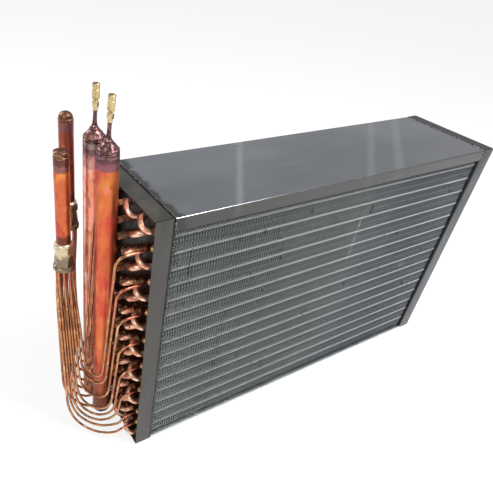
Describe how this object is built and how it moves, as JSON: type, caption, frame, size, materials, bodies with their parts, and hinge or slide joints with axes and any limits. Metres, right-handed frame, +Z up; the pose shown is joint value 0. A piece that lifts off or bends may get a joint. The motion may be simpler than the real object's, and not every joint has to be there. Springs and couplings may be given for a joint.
{
  "type": "evaporator coil",
  "caption": "Slab direct-expansion evaporator coil: finned copper tubes in a folded sheet casing, fed by distributors and looped leads, drained by two capped vertical headers.",
  "frame": {"origin": "middle of the underside of the casing", "axes": "+X along the tubes with the headers at -X, -Y is the face that the air enters, +Z is up"},
  "size_m": [1.1276, 0.2503, 0.803],
  "materials": {
    "casing_sheet": "satin galvanised sheet",
    "fin_foil": "thin rippled foil",
    "core_tube": "drawn copper",
    "return_bend": "brazed copper, heat tinted",
    "header_tube": "drawn copper, heat tinted",
    "end_cap": "copper darkened by brazing",
    "valve_brass": "machined brass",
    "distributor_brass": "dull turned brass",
    "braze_collar": "bright brazed brass",
    "lead_tube": "bent small-bore copper"
  },
  "bodies": {
    "root": {"tube_sheet_left": "casing_sheet", "tube_sheet_right": "casing_sheet", "top_plate": "casing_sheet", "bottom_plate": "casing_sheet", "fin_pack": "fin_foil", "hairpins_front": "core_tube", "return_bends_front": "return_bend", "suction_stubs_front": "return_bend", "header_front": "header_tube", "header_caps_front": "end_cap", "valve_stem_front": "end_cap", "valve_body_front": "valve_brass", "valve_cap_front": "valve_brass", "distributor_front": "distributor_brass", "distributor_collar_front": "braze_collar", "inlet_tube_front": "header_tube", "inlet_cap_front": "end_cap", "lead_front_1": "lead_tube", "lead_front_2": "lead_tube", "lead_front_3": "lead_tube", "lead_front_4": "lead_tube", "lead_front_5": "lead_tube", "lead_front_6": "lead_tube", "lead_front_7": "lead_tube", "lead_front_8": "lead_tube", "hairpins_rear": "core_tube", "return_bends_rear": "return_bend", "suction_stubs_rear": "return_bend", "header_rear": "header_tube", "header_caps_rear": "end_cap", "valve_stem_rear": "end_cap", "valve_body_rear": "valve_brass", "valve_cap_rear": "valve_brass", "distributor_rear": "distributor_brass", "distributor_collar_rear": "braze_collar", "inlet_tube_rear": "header_tube", "inlet_cap_rear": "end_cap", "lead_rear_1": "lead_tube", "lead_rear_2": "lead_tube", "lead_rear_3": "lead_tube", "lead_rear_4": "lead_tube", "lead_rear_5": "lead_tube", "lead_rear_6": "lead_tube", "lead_rear_7": "lead_tube", "lead_rear_8": "lead_tube"}
  },
  "joints": []
}
